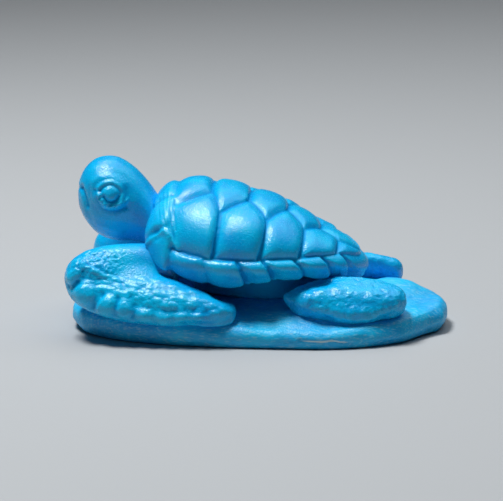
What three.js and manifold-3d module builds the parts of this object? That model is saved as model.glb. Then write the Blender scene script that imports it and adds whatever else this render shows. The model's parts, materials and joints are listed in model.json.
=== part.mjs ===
// Sea turtle statuette: a small carved turtle with its head raised, lying on a low flat rock.
// Millimetres, +Z up, head towards -X, origin in the middle of the rock's flat underside.
// The carving is divided along its carved grooves: rock, belly, shell, scutes, head, eyes, flippers.

import * as THREE from "three";
import { mergeVertices } from "three/addons/utils/BufferGeometryUtils.js";
import Module from "manifold-3d";

const wasm = await Module();
wasm.setup();

const { lerp, smoothstep, degToRad } = THREE.MathUtils;

// Clearances
const seatGap = 0.3; // between a piece and what it seats on
const grooveWidth = 0.3; // carved groove between neighbouring scutes

// Rock: blunt under the head, pointed behind, rounded edge, low mound under the belly
const rockFrontX = -27;
const rockRearX = 27;
const rockWidestX = 8;
const rockWidth = 30;
const rockHeight = 5.6;
const rockFrontEdge = 4.4; // height of the edge at the head end
const rockSideEdge = 2.6; // at its widest place
const rockTailEdge = 4.1; // at the tail end
const rockFrontBluntness = 3; // power of the outline's superellipse
const rockRearBluntness = 1.9;
const rockShoulder = 0.9; // share of the outline where the rounded edge starts
const rockFoot = 0.965; // share of the outline at the flat underside
const rockMoundFall = 2.6; // power of the mound's slope

// Belly between the rock and the shell
const bellyDepth = 3.6;
const bellyEndInset = 0.7; // inside the shell's seam at the neck and the tail
const bellySideInset = 2.2; // inside it at the sides

// Shell: dome of scutes between a collar at the neck and a band of marginal scutes
const shellFrontX = -11.8; // seam between the collar and the dome
const shellRearX = 14.2;
const shellWidestX = -3.5;
const shellWidth = 24.4; // across the seam above the marginal scutes
const collarWidth = 19.8; // the same at the collar seam
const tailTaper = 0.62; // power of the outline behind the widest place, 0.5 is an ellipse
const crownX = -9.5; // where the dome is highest
const crownRise = 11.25; // from the belly's top to the crown
const collarDip = 0.35; // from the crown down to the collar seam
const tailDomeRise = 0.1; // height of the dome over its seam at the tail
const spineFall = 1.75; // power of the slope from crown to tail
const seamRise = 2.6; // from the belly's top to the seam above the marginal scutes
const seamFrontLift = 1.1; // how far that seam climbs towards the collar
const seamRearDip = 0.3; // how far it drops towards the tail

// Scutes
const scuteThickness = 1.1;
const scutePillow = 0.45; // swell in the middle of a scute
const scuteShingle = 0.45; // rise of a scute's rear edge over the next scute's front edge
const spineSeams = [-6.8, -1.5, 3.9, 8.5]; // X of the grooves between vertebral scutes
const costalSeams = [-5.4, 1.1, 6.3, 10.9]; // X where the grooves between costal scutes start
const vertebralFrontShare = 0.64; // half-width of the vertebral row, as a share of the dome's
const vertebralWideShares = [0.68, 0.64, 0.54, 0.45]; // at the costal grooves
const vertebralNarrowShares = [0.34, 0.34, 0.22, 0.2]; // at the vertebral grooves
const vertebralTailShare = 0.35;
const costalLean = 5.5; // how far the costal grooves sweep forward on their way down

// Marginal scutes and collar
const marginalSeams = [-7.3, -2.7, 0.8, 4.9, 8.6, 11.4]; // X of the grooves along the side
const collarSeams = [28, 64]; // degrees down from the nape, grooves of the collar
const rimThickness = 0.8; // of the thin lower edge
const rimDrop = 1.2; // from the belly's top down to the rim
const rimFrontLift = 2.0; // how far the rim climbs towards the collar
const rimRearLift = 0.9; // how far it climbs over the rear flipper
const rimFlare = 1.1; // how far the rim stands out from the seam above it
const marginalLedge = 0.5; // step of the marginal scutes out from the dome
const marginalBulge = 0.25;
const marginalShingle = 0.4; // rise of a marginal scute's rear edge
const marginalLean = 0.05; // how far the grooves sweep back on their way down, in turns of a quarter
const collarReach = 2.6; // from the collar seam forward to the neck opening, at the nape
const collarLean = 1.6; // how much further forward the opening stands at its foot
const collarTilt = 37; // degrees that the collar's face leans forward
const neckOpeningWidth = 16.6;
const neckOpeningRise = 9.4; // from the belly's top to the top of the neck opening
const neckOpeningFoot = 1.0; // from the belly's top to the foot of the neck opening

// Head and neck: upright slices from the neck's root to the snout.
// reach is ahead of the collar seam, low and high are over the belly's top.
const headSlices = [
  { reach: -0.4, low: 0.8, high: 5.6, width: 9.6 },
  { reach: 2.6, low: 1.6, high: 8.5, width: 9.2 },
  { reach: 4.2, low: 2.4, high: 10.9, width: 8.4 },
  { reach: 6.4, low: 2.9, high: 13.3, width: 8.8 },
  { reach: 8.8, low: 2.9, high: 14.7, width: 9.8 },
  { reach: 11.2, low: 3.8, high: 14.6, width: 9.0 },
  { reach: 13.0, low: 5.8, high: 13.2, width: 6.6 },
  { reach: 13.9, low: 7.6, high: 11.4, width: 3.4 },
];
const headBoxiness = 2.3; // power of the slices' superellipse
const eyeReach = 9.15; // of the eye's middle ahead of the collar seam
const eyeRise = 10.05; // of the eye's middle over the belly's top
const eyeRadius = 1.1;
const eyeSink = 0.35; // of the eye's middle under the cheek
const eyelidRadius = 1.75; // middle of the ring of the eyelids
const eyelidThickness = 0.9;

// Front flipper: an upper arm out of the collar, and a blade swept back along the rock's side.
// reach is ahead of the collar seam, out is from the turtle's middle, rise is over the rock's top.
const upperArm = [
  { reach: -0.2, out: 6.2, rise: 3.9, width: 5.2, height: 5.4 },
  { reach: 4.7, out: 7.2, rise: 4.0, width: 5.6, height: 6.2 },
  { reach: 8.7, out: 8.0, rise: 3.8, width: 5.6, height: 6.4 },
  { reach: 11.8, out: 8.7, rise: 3.5, width: 5.0, height: 5.8 },
  { reach: 13.6, out: 9.2, rise: 3.2, width: 3.2, height: 4.0 },
  { reach: 14.1, out: 9.4, rise: 3.0, width: 1.4, height: 1.8 },
];
// inset is from the rock's side
const bladeOuterEdge = [
  { reach: 14.6, inset: 5.2, rise: 2.8 },
  { reach: 13.3, inset: 3.0, rise: 0.7 },
  { reach: 8.2, inset: 1.1, rise: -1.3 },
  { reach: 0.2, inset: 0.5, rise: -2.1 },
  { reach: -6.8, inset: 0.6, rise: -2.6 },
  { reach: -9.1, inset: 1.3, rise: -2.2 },
];
const bladeInnerEdge = [
  { reach: 14.6, inset: 5.2, rise: 2.8 },
  { reach: 12.6, inset: 7.2, rise: 3.8 },
  { reach: 6.7, inset: 7.0, rise: 4.0 },
  { reach: 0.2, inset: 5.2, rise: 2.6 },
  { reach: -6.6, inset: 3.0, rise: 0.6 },
  { reach: -9.1, inset: 2.8, rise: 0.0 },
];
const bladeThickness = 4.0;
const bladeTipShare = 0.35; // thickness left at the blade's tip
// Wrist, which fills the front of the fold between arm and blade
const wristArmShare = 0.54; // where it lies along the arm
const wristBladeShare = 0.24; // and along the blade
const wristLength = 6.6;
const wristWidth = 5.8;
const wristHeight = 6.6;

// Rear flipper: a thick leaf on the rock's slope; behind is from the shell's rear end
const rearOuterEdge = [
  { behind: -10.8, inset: 5.2, rise: 0.8 },
  { behind: -8.0, inset: 2.6, rise: -1.5 },
  { behind: -1.2, inset: 1.6, rise: -2.6 },
  { behind: 4.4, inset: 3.2, rise: -1.9 },
  { behind: 6.4, inset: 4.9, rise: -1.2 },
];
const rearInnerEdge = [
  { behind: -10.8, inset: 5.2, rise: 0.8 },
  { behind: -8.0, inset: 6.8, rise: 2.2 },
  { behind: -1.2, inset: 8.0, rise: 2.6 },
  { behind: 4.6, inset: 7.6, rise: 1.7 },
  { behind: 6.4, inset: 7.0, rise: 0.6 },
];
const rearFlipperThickness = 3.0;
const rearTipShare = 0.7; // thickness left at its blunt rear end

// Finish: polished sky-blue stone
const polishedStone = { color: 0x0a93d6, roughness: 0.32, metalness: 0 };

// Levels that follow from the sizes above
const bellyTop = rockHeight + bellyDepth;
const crownZ = bellyTop + crownRise;

const point = (x, y, z) => new THREE.Vector3(x, y, z);
const mix = (a, b, share) => new THREE.Vector3().lerpVectors(a, b, share);

// Mesh helpers

const weldDistance = 1e-4;

// Closed geometry from points and triangles, with its faces turned outwards.
function closedGeometry(points, triangles) {
  const corner = new THREE.Vector3();
  const volume = triangles.reduce(
    (sum, [a, b, c]) => sum + corner.crossVectors(points[b], points[c]).dot(points[a]) / 6,
    0,
  );
  const outward = volume > 0 ? triangles : triangles.map(([a, b, c]) => [a, c, b]);
  const geometry = new THREE.BufferGeometry().setFromPoints(points);
  geometry.setIndex(outward.flat());
  return mergeVertices(geometry, weldDistance);
}

function solidOf(geometry) {
  const bare = new THREE.BufferGeometry();
  bare.setAttribute("position", geometry.getAttribute("position"));
  bare.setIndex(geometry.index);
  const welded = mergeVertices(bare, weldDistance);
  return new wasm.Manifold(
    new wasm.Mesh({
      numProp: 3,
      vertProperties: new Float32Array(welded.attributes.position.array),
      triVerts: new Uint32Array(welded.index.array),
    }),
  );
}

function geometryOf(solid) {
  const mesh = solid.getMesh();
  const geometry = new THREE.BufferGeometry();
  geometry.setAttribute("position", new THREE.BufferAttribute(new Float32Array(mesh.vertProperties), 3));
  geometry.setIndex(new THREE.BufferAttribute(new Uint32Array(mesh.triVerts), 1));
  return geometry;
}

// The same form with its surface moved outwards, to cut a seat with clearance.
function grown(geometry, distance = seatGap) {
  const copy = geometry.clone();
  copy.computeVertexNormals();
  const places = copy.getAttribute("position");
  const normals = copy.getAttribute("normal");
  for (let i = 0; i < places.count; i++) {
    places.setXYZ(
      i,
      places.getX(i) + distance * normals.getX(i),
      places.getY(i) + distance * normals.getY(i),
      places.getZ(i) + distance * normals.getZ(i),
    );
  }
  copy.deleteAttribute("normal");
  return copy;
}

function mirrored(geometry) {
  const copy = geometry.clone().applyMatrix4(new THREE.Matrix4().makeScale(1, -1, 1));
  const order = copy.index.array;
  for (let i = 0; i < order.length; i += 3) [order[i + 1], order[i + 2]] = [order[i + 2], order[i + 1]];
  return copy;
}

function cutSeats(geometry, neighbours) {
  const seats = neighbours.map((neighbour) => solidOf(grown(neighbour)));
  return geometryOf(seats.reduce((piece, seat) => piece.subtract(seat), solidOf(geometry)));
}

function joined(geometries) {
  return geometryOf(geometries.map(solidOf).reduce((all, next) => all.add(next)));
}

// Closed skin over rings of points, each end closed by a fan on its middle.
function loft(rings) {
  const count = rings[0].length;
  const points = rings.flat();
  const triangles = [];
  for (let i = 0; i + 1 < rings.length; i++) {
    for (let j = 0; j < count; j++) {
      const next = (j + 1) % count;
      const [a, b, c, d] = [i * count + j, i * count + next, (i + 1) * count + j, (i + 1) * count + next];
      triangles.push([a, c, b], [b, c, d]);
    }
  }
  const last = (rings.length - 1) * count;
  const ends = [rings[0], rings.at(-1)].map((ring) =>
    ring.reduce((sum, p) => sum.add(p), point(0, 0, 0)).divideScalar(count),
  );
  points.push(...ends);
  for (let j = 0; j < count; j++) {
    const next = (j + 1) % count;
    triangles.push([points.length - 2, j, next], [points.length - 1, last + next, last + j]);
  }
  return closedGeometry(points, triangles);
}

// Closed plate between two faces that are both given over the unit square.
function plate(outer, inner, columns, rows) {
  const points = [];
  const triangles = [];
  const at = (face, i, j) => (face * (columns + 1) + i) * (rows + 1) + j;
  [outer, inner].forEach((face) => {
    for (let i = 0; i <= columns; i++) {
      for (let j = 0; j <= rows; j++) points.push(face(i / columns, j / rows));
    }
  });
  const quad = (a, b, c, d) => triangles.push([a, b, c], [a, c, d]);
  for (let i = 0; i < columns; i++) {
    for (let j = 0; j < rows; j++) {
      quad(at(0, i, j), at(0, i + 1, j), at(0, i + 1, j + 1), at(0, i, j + 1));
      quad(at(1, i, j), at(1, i, j + 1), at(1, i + 1, j + 1), at(1, i + 1, j));
    }
    quad(at(0, i, 0), at(1, i, 0), at(1, i + 1, 0), at(0, i + 1, 0));
    quad(at(0, i, rows), at(0, i + 1, rows), at(1, i + 1, rows), at(1, i, rows));
  }
  for (let j = 0; j < rows; j++) {
    quad(at(0, 0, j), at(0, 0, j + 1), at(1, 0, j + 1), at(1, 0, j));
    quad(at(0, columns, j), at(1, columns, j), at(1, columns, j + 1), at(0, columns, j + 1));
  }
  return closedGeometry(points, triangles);
}

// Rock

const signedPower = (value, power) => Math.sign(value) * Math.abs(value) ** power;
const rockReach = (x) => (x < rockWidestX ? rockWidestX - rockFrontX : rockRearX - rockWidestX);
const rockBluntness = (x) => (x < rockWidestX ? rockFrontBluntness : rockRearBluntness);

// Share of the rock's outline at which a place lies: 0 in the middle, 1 on the outline.
function rockShare(x, y) {
  const power = rockBluntness(x);
  const along = (Math.abs(x - rockWidestX) / rockReach(x)) ** power;
  const across = (Math.abs(y) / (rockWidth / 2)) ** power;
  return (along + across) ** (1 / power);
}

function rockEdge(x) {
  if (x < rockWidestX) return lerp(rockFrontEdge, rockSideEdge, smoothstep(x, rockFrontX, rockWidestX));
  return lerp(rockSideEdge, rockTailEdge, smoothstep(x, rockWidestX, rockRearX));
}

function rockTop(x, y) {
  const share = Math.min(rockShare(x, y) / rockShoulder, 1);
  return rockEdge(x) + (rockHeight - rockEdge(x)) * (1 - share ** rockMoundFall);
}

function makeRock() {
  const sides = 48;
  const ring = (share, level) =>
    Array.from({ length: sides }, (_, i) => {
      const angle = (2 * Math.PI * (i + 0.5)) / sides;
      const ahead = Math.cos(angle) < 0 ? rockFrontX : rockRearX;
      const power = 2 / rockBluntness(ahead);
      const x = rockWidestX + share * rockReach(ahead) * signedPower(Math.cos(angle), power);
      const y = share * (rockWidth / 2) * signedPower(Math.sin(angle), power);
      return point(x, y, level(x, y));
    });
  const topShares = [0.12, 0.3, 0.5, 0.7, rockShoulder];
  const edgeTurns = [35, 70, 105];
  return loft([
    ...topShares.map((share) => ring(share, rockTop)),
    ...edgeTurns.map((turn) => {
      const out = Math.sin(degToRad(turn));
      const down = (1 + Math.cos(degToRad(turn))) / 2;
      return ring(lerp(rockShoulder, 1, out), (x) => rockEdge(x) * down);
    }),
    ring(rockFoot, () => 0),
  ]);
}

// Belly: a low rounded block that takes the shape of the rock below it

function makeBelly(rock) {
  const sides = 24;
  const middle = (shellFrontX + shellRearX) / 2;
  const halfLength = (shellRearX - shellFrontX) / 2 - bellyEndInset;
  const halfBreadth = shellWidth / 2 - bellySideInset;
  const profile = [
    { swell: 0.72, height: 0 },
    { swell: 0.94, height: 0.45 },
    { swell: 1, height: 0.75 },
    { swell: 0.95, height: 1 },
  ];
  const rings = profile.map(({ swell, height }) =>
    Array.from({ length: sides }, (_, i) => {
      const angle = (2 * Math.PI * i) / sides;
      const x = middle + swell * halfLength * Math.cos(angle);
      return point(x, swell * halfBreadth * Math.sin(angle), lerp(rockSideEdge, bellyTop, height));
    }),
  );
  return cutSeats(loft(rings), [rock]);
}

// Shell dome: upright arches along X, from the seam on the left, over the spine, to the seam on the right

// Share of the way from the widest place to the collar seam, and to the tail
const aheadShare = (x) => Math.max((shellWidestX - x) / (shellWidestX - shellFrontX), 0);
const behindShare = (x) => Math.min(Math.max((x - shellWidestX) / (shellRearX - shellWidestX), 0), 1);

function halfWidth(x, depth = 0) {
  const widest = shellWidth / 2 - depth;
  if (x > shellWidestX) {
    const run = Math.min((x - shellWidestX) / (shellRearX - depth - shellWidestX), 1);
    return widest * (1 - run ** 2) ** tailTaper;
  }
  return widest * Math.sqrt(1 - (1 - (collarWidth / shellWidth) ** 2) * aheadShare(x) ** 2);
}

function seamZ(x) {
  return bellyTop + seamRise + seamFrontLift * aheadShare(x) ** 2 - seamRearDip * behindShare(x) ** 2;
}

function spineZ(x) {
  if (x < crownX) return crownZ - collarDip * ((crownX - x) / (crownX - shellFrontX)) ** 2;
  const run = (x - crownX) / (shellRearX - crownX);
  return lerp(crownZ, seamZ(shellRearX) + tailDomeRise, run ** spineFall);
}

// A place on the dome: across is the share of the half-width, -1 on the left seam; depth is into the shell.
function dome(along, across, depth) {
  const x = along - depth * behindShare(along) ** 2;
  const rise = spineZ(x) - seamZ(x);
  const upright = Math.sqrt(Math.max(1 - across ** 2, 0));
  return point(x, halfWidth(x, depth) * across, seamZ(x) + Math.max(rise - depth, 0.1 * rise) * upright);
}

// Half-width of the vertebral row, as a share of the dome's: wide at costal grooves, narrow at its own
function vertebralShare(x) {
  const stations = [[shellFrontX, vertebralFrontShare]];
  spineSeams.forEach((seam, i) => {
    stations.push([seam, vertebralNarrowShares[i]], [costalSeams[i], vertebralWideShares[i]]);
  });
  stations.push([shellRearX, vertebralTailShare]);
  stations.sort((a, b) => a[0] - b[0]);
  const next = Math.max(stations.findIndex(([station]) => station > x), 1);
  const [[x0, share0], [x1, share1]] = [stations[next - 1], stations[next]];
  return lerp(share0, share1, (x - x0) / (x1 - x0));
}

const pillow = (u) => 1 - (2 * u - 1) ** 4;
const swell = (u, v) => scutePillow * pillow(u) * pillow(v) + scuteShingle * (u - 0.5);

// A run of X through three stations, kept half a groove clear of both ends.
function stationRun(front, middle, rear) {
  const [first, last] = [front + grooveWidth / 2, rear - grooveWidth / 2];
  return (u) => (u < 0.5 ? lerp(first, middle, 2 * u) : lerp(middle, last, 2 * u - 1));
}

function makeVertebral(i) {
  const front = i === 0 ? shellFrontX : spineSeams[i - 1];
  const rear = i === spineSeams.length ? shellRearX : spineSeams[i];
  const wide = i === 0 ? (front + rear) / 2 : costalSeams[i - 1];
  const station = stationRun(front, wide, rear);
  const across = (x, v) => (2 * v - 1) * (vertebralShare(x) - grooveWidth / 2 / halfWidth(x));
  return plate(
    (u, v) => dome(station(u), across(station(u), v), -swell(u, v)),
    (u, v) => dome(station(u), across(station(u), v), scuteThickness),
    6,
    8,
  );
}

function makeCostal(i) {
  const front = i === 0 ? shellFrontX : costalSeams[i - 1];
  const rear = i === costalSeams.length ? shellRearX : costalSeams[i];
  const narrow = i === costalSeams.length ? (front + rear) / 2 : spineSeams[i];
  const station = stationRun(front, narrow, rear);
  const place = (u, v, depth) => {
    const x = station(u);
    const run = (x - shellFrontX) / (shellRearX - shellFrontX);
    const leaning = x - costalLean * run * (1 - run) ** 1.5 * v ** 2;
    const half = grooveWidth / 2 / halfWidth(leaning);
    const angle = lerp(Math.asin(vertebralShare(x) + half), Math.PI / 2 - half, v);
    return dome(leaning, -Math.sin(angle), depth);
  };
  return plate(
    (u, v) => place(u, v, -swell(u, v)),
    (u, v) => place(u, v, scuteThickness),
    6,
    6,
  );
}

// Marginal band: q runs from 0 at the nape down the collar to 1 at its corner
// and along the side to 2 at the tail

const sideX = (q) => lerp(shellFrontX, shellRearX, Math.sin(((q - 1) * Math.PI) / 2));
const sideQ = (x) => 1 + (Math.asin((x - shellFrontX) / (shellRearX - shellFrontX)) * 2) / Math.PI;

function seamPlace(q) {
  if (q < 1) return dome(shellFrontX, -Math.sin((q * Math.PI) / 2), 0);
  return point(sideX(q), -halfWidth(sideX(q)), seamZ(sideX(q)));
}

// Level direction out of the shell, square to the seam
function sideways(q) {
  const step = 1e-3;
  const middle = Math.min(Math.max(q, 1 + step), 2 - step);
  const run = seamPlace(middle + step).sub(seamPlace(middle - step));
  return point(-run.y, run.x, 0).normalize().negate();
}

function rimZ(x) {
  const lift = rimFrontLift * aheadShare(x) ** 2 + rimRearLift * Math.sin(Math.PI * behindShare(x));
  return bellyTop - rimDrop + lift;
}

function rimPlace(q, thickness) {
  const x = sideX(Math.max(q, 1));
  const side = seamPlace(Math.max(q, 1)).addScaledVector(sideways(q), rimFlare - thickness).setZ(rimZ(x));
  if (q >= 1) return side;
  const angle = (q * Math.PI) / 2;
  const opening = point(
    shellFrontX - collarReach - collarLean * Math.sin(angle) ** 2,
    -(neckOpeningWidth / 2 - thickness) * Math.sin(angle),
    bellyTop + lerp(neckOpeningFoot, neckOpeningRise - thickness, Math.cos(angle)),
  );
  return mix(opening, side, smoothstep(q, 0.7, 1));
}

function seamInside(q) {
  if (q < 1) return dome(shellFrontX, -Math.sin((q * Math.PI) / 2), scuteThickness);
  return seamPlace(q).addScaledVector(sideways(q), -scuteThickness);
}

function marginalOut(q) {
  if (q >= 1) return sideways(q);
  const angle = (q * Math.PI) / 2;
  const tilt = degToRad(collarTilt);
  return point(-Math.sin(tilt), -Math.cos(tilt) * Math.sin(angle), Math.cos(tilt) * Math.cos(angle));
}

function makeMarginal(qFront, qRear, shingle) {
  const length = seamPlace(qFront).distanceTo(seamPlace(qRear));
  const inset = (grooveWidth / 2 / length) * (qRear - qFront);
  const bandQ = (u, h) => {
    const q = lerp(qFront + inset, qRear - inset, u);
    return q + marginalLean * h * Math.max(Math.sin(Math.PI * (q - 1)), 0);
  };
  const start = (q) => grooveWidth / 2 / seamPlace(q).distanceTo(rimPlace(q, 0));
  const outer = (u, v) => {
    const q = bandQ(u, v);
    const h = lerp(start(q), 1, v);
    const out = marginalLedge * (1 - h) + marginalBulge * Math.sin(Math.PI * h) + shingle * (u - 0.5);
    return mix(seamPlace(q), rimPlace(q, 0), h).addScaledVector(marginalOut(q), out);
  };
  const inner = (u, v) => {
    const q = bandQ(u, v);
    return mix(seamInside(q), rimPlace(q, rimThickness), lerp(start(q), 1, v));
  };
  return plate(outer, inner, 6, 4);
}

// Shell core: the block under the scutes, flat on the belly

function makeCore() {
  const depth = scuteThickness + seatGap;
  const stations = 14;
  const arcs = 16;
  const first = shellFrontX + seatGap;
  const last = shellRearX - depth / 2;
  const foot = bellyTop + seatGap;
  const rings = Array.from({ length: stations + 1 }, (_, i) => {
    const x = lerp(first, last, Math.sin((i / stations) * (Math.PI / 2)));
    const arch = Array.from({ length: arcs + 1 }, (_, j) => dome(x, -Math.cos((j / arcs) * Math.PI), depth));
    const [left, right] = [arch[0], arch[arcs]];
    return [...arch, point(right.x, right.y, foot), point(left.x, left.y, foot)];
  });
  return loft(rings);
}

// Head

const curveThrough = (points) => new THREE.CatmullRomCurve3(points);
const headProfile = curveThrough(headSlices.map(({ reach, low, high }) => point(reach, low, high)));
const headBreadth = curveThrough(headSlices.map(({ reach, width }) => point(reach, width, 0)));

function headSection(t) {
  const { x: reach, y: low, z: high } = headProfile.getPoint(t);
  return {
    x: shellFrontX - reach,
    middle: bellyTop + (low + high) / 2,
    halfHeight: (high - low) / 2,
    halfBreadth: headBreadth.getPoint(t).y / 2,
  };
}

function headRing(t) {
  const sides = 20;
  const { x, middle, halfHeight, halfBreadth } = headSection(t);
  return Array.from({ length: sides }, (_, i) => {
    const angle = (2 * Math.PI * i) / sides;
    return point(
      x,
      halfBreadth * signedPower(Math.cos(angle), 2 / headBoxiness),
      middle + halfHeight * signedPower(Math.sin(angle), 2 / headBoxiness),
    );
  });
}

// Where the left cheek is at the eye
function eyePlace() {
  const steps = 200;
  const sections = Array.from({ length: steps + 1 }, (_, i) => headSection(i / steps));
  const eyeX = shellFrontX - eyeReach;
  const { middle, halfHeight, halfBreadth } = sections.find(({ x }) => x <= eyeX);
  const z = bellyTop + eyeRise;
  const up = Math.min(Math.abs(z - middle) / halfHeight, 0.95);
  return point(eyeX, -halfBreadth * (1 - up ** headBoxiness) ** (1 / headBoxiness), z);
}

function makeHead(neighbours) {
  const slices = 20;
  const eyelid = new THREE.TorusGeometry(eyelidRadius, eyelidThickness / 2, 6, 18).rotateX(Math.PI / 2);
  const place = eyePlace();
  eyelid.translate(place.x, place.y, place.z);
  const socket = new THREE.SphereGeometry(eyeRadius + seatGap, 14, 10);
  socket.translate(place.x, place.y + eyeSink, place.z);
  const rings = Array.from({ length: slices + 1 }, (_, i) => headRing(i / slices));
  const whole = joined([loft(rings), eyelid, mirrored(eyelid)]);
  const open = solidOf(whole).subtract(solidOf(socket)).subtract(solidOf(mirrored(socket)));
  return cutSeats(geometryOf(open), neighbours);
}

function makeEye() {
  const place = eyePlace();
  return new THREE.SphereGeometry(eyeRadius, 16, 10).translate(place.x, place.y + eyeSink, place.z);
}

// Flippers

// Places on the left side of the rock
const armPlace = ({ reach, out, rise }) => point(shellFrontX - reach, -out, rockHeight + rise);
const bladePlace = ({ reach, inset, rise }) => armPlace({ reach, out: rockWidth / 2 - inset, rise });
const rearPlace = ({ behind, inset, rise }) =>
  point(shellRearX + behind, inset - rockWidth / 2, rockHeight + rise);

function makeArm() {
  const slices = 8;
  const sides = 12;
  const axis = curveThrough(upperArm.map(armPlace));
  const girth = curveThrough(upperArm.map(({ width, height }) => point(width, height, 0)));
  const rings = Array.from({ length: slices + 1 }, (_, i) => {
    const middle = axis.getPoint(i / slices);
    const { x: width, y: height } = girth.getPoint(i / slices);
    return Array.from({ length: sides }, (_, j) => {
      const angle = (2 * Math.PI * j) / sides;
      return point(
        middle.x,
        middle.y + (width / 2) * Math.cos(angle),
        middle.z + (height / 2) * Math.sin(angle),
      );
    });
  });
  return loft(rings);
}

// An egg halfway between the arm's axis and the middle of the blade beside it
function makeWrist(bladeEdges) {
  const arm = curveThrough(upperArm.map(armPlace)).getPoint(wristArmShare);
  const [outer, inner] = bladeEdges.map((edge) => curveThrough(edge).getPoint(wristBladeShare));
  const { x, y, z } = mix(arm, mix(outer, inner, 0.5), 0.5);
  return new THREE.SphereGeometry(0.5, 12, 8).scale(wristLength, wristWidth, wristHeight).translate(x, y, z);
}

// Leaf between the points of an outer and an inner edge, with a round nose.
// Behind its thickest place it thins out to the share that is left at its tip.
function makeLeaf(outerEdge, innerEdge, thickness, tipShare) {
  const slices = 18;
  const sides = 14;
  const thickest = 0.37; // share of its length
  const nose = (t) => 1 - ((thickest - t) / thickest) ** 2;
  const tail = (t) => 1 - (1 - tipShare ** 2) * ((t - thickest) / (1 - thickest)) ** 2;
  const [outer, inner] = [curveThrough(outerEdge), curveThrough(innerEdge)];
  const rings = Array.from({ length: slices + 1 }, (_, i) => {
    const t = lerp(0.015, 0.985, i / slices);
    const [o, p] = [outer.getPoint(t), inner.getPoint(t)];
    const middle = mix(o, p, 0.5);
    const half = p.clone().sub(middle);
    const ahead = mix(outer.getTangent(t), inner.getTangent(t), 0.5);
    const up = ahead.clone().cross(half).normalize();
    if (up.z < 0) up.negate();
    const swelling = (thickness / 2) * Math.sqrt(t < thickest ? nose(t) : tail(t));
    return Array.from({ length: sides }, (_, j) => {
      const angle = (2 * Math.PI * j) / sides;
      return middle
        .clone()
        .addScaledVector(half, Math.cos(angle))
        .addScaledVector(up, swelling * Math.sin(angle));
    });
  });
  return loft(rings);
}

const turtle = new THREE.Group();

function add(name, geometry) {
  const mesh = new THREE.Mesh(geometry, new THREE.MeshStandardMaterial(polishedStone));
  mesh.name = name;
  turtle.add(mesh);
  return geometry;
}

function addPair(name, geometry) {
  return [add(`left_${name}`, geometry), add(`right_${name}`, mirrored(geometry))];
}

const rock = add("rock_base", makeRock());
const belly = add("belly", makeBelly(rock));
const core = add("shell_core", makeCore());

for (let i = 0; i <= spineSeams.length; i++) add(`vertebral_scute_${i + 1}`, makeVertebral(i));
for (let i = 0; i <= costalSeams.length; i++) addPair(`costal_scute_${i + 1}`, makeCostal(i));

const collarPosts = collarSeams.map((angle) => angle / 90);
const posts = [...collarPosts, 1, ...marginalSeams.map(sideQ), 2];
const nuchal = add("nuchal_scute", makeMarginal(-collarPosts[0], collarPosts[0], 0));
const marginals = posts.slice(1).map((post, i) =>
  addPair(`marginal_scute_${i + 1}`, makeMarginal(posts[i], post, marginalShingle)),
);

const collar = [nuchal, ...marginals.slice(0, collarSeams.length).flat()];
const head = add("head", makeHead([core, belly, ...collar]));
addPair("eye", makeEye());

const leftMarginals = marginals.map(([left]) => left);
const bodyPieces = [rock, belly, core, ...leftMarginals];
const bladeEdges = [bladeOuterEdge, bladeInnerEdge].map((edge) => edge.map(bladePlace));
const blade = makeLeaf(...bladeEdges, bladeThickness, bladeTipShare);
const hand = joined([makeArm(), makeWrist(bladeEdges), blade]);
addPair("front_flipper", cutSeats(hand, [...bodyPieces, head]));
const rearEdges = [rearOuterEdge, rearInnerEdge].map((edge) => edge.map(rearPlace));
const rearLeaf = makeLeaf(...rearEdges, rearFlipperThickness, rearTipShare);
addPair("rear_flipper", cutSeats(rearLeaf, bodyPieces));

export default turtle;
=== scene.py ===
# Sea turtle statuette, carved from one sky-blue stone and polished.
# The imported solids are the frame. Each carved form starts as a copy of its solid, is rounded,
# and then gets the marks of the carver's bits as small presses into its surface.
import json
import math

import bpy
import numpy as np
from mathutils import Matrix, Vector
from mathutils.bvhtree import BVHTree

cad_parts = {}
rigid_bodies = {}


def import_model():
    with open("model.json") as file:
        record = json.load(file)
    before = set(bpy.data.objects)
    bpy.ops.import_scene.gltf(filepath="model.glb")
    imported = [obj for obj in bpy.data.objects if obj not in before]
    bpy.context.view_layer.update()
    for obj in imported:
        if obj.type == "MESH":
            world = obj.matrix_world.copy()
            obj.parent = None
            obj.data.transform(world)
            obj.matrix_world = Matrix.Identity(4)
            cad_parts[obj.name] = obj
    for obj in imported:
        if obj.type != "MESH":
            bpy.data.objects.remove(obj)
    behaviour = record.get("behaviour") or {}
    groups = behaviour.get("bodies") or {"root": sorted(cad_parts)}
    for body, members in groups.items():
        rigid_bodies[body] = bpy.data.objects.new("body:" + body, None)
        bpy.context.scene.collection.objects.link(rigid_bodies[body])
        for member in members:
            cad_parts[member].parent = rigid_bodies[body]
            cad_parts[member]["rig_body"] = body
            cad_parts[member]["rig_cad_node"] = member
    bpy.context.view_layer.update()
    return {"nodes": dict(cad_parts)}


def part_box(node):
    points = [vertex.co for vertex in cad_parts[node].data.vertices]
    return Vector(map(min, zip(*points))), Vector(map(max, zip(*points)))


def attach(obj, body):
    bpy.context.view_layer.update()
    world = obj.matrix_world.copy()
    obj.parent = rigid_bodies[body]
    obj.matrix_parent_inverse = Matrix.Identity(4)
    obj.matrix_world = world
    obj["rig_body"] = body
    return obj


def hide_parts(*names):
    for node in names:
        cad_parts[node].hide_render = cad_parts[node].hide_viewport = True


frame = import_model()
mm = 0.001
print("frame loaded,", len(frame["nodes"]), "solids")

# Camera, floor and light

view = {
    "lookAt": (-1.2, 0.0, 10.53),  # mm, the point in the middle of the photograph
    "distance": 270.0,  # mm
    "azimuth": 3.0,  # degrees round to the tail's side
    "elevation": 13.0,
    "focalPixels": 1880.0,  # focal length in pixels of the photograph
    "photoWidth": 503.0,
    "photoHeight": 501.0,
    "sensorWidth": 36.0,  # mm
    "clipStart": 10.0,  # mm
}

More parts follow.
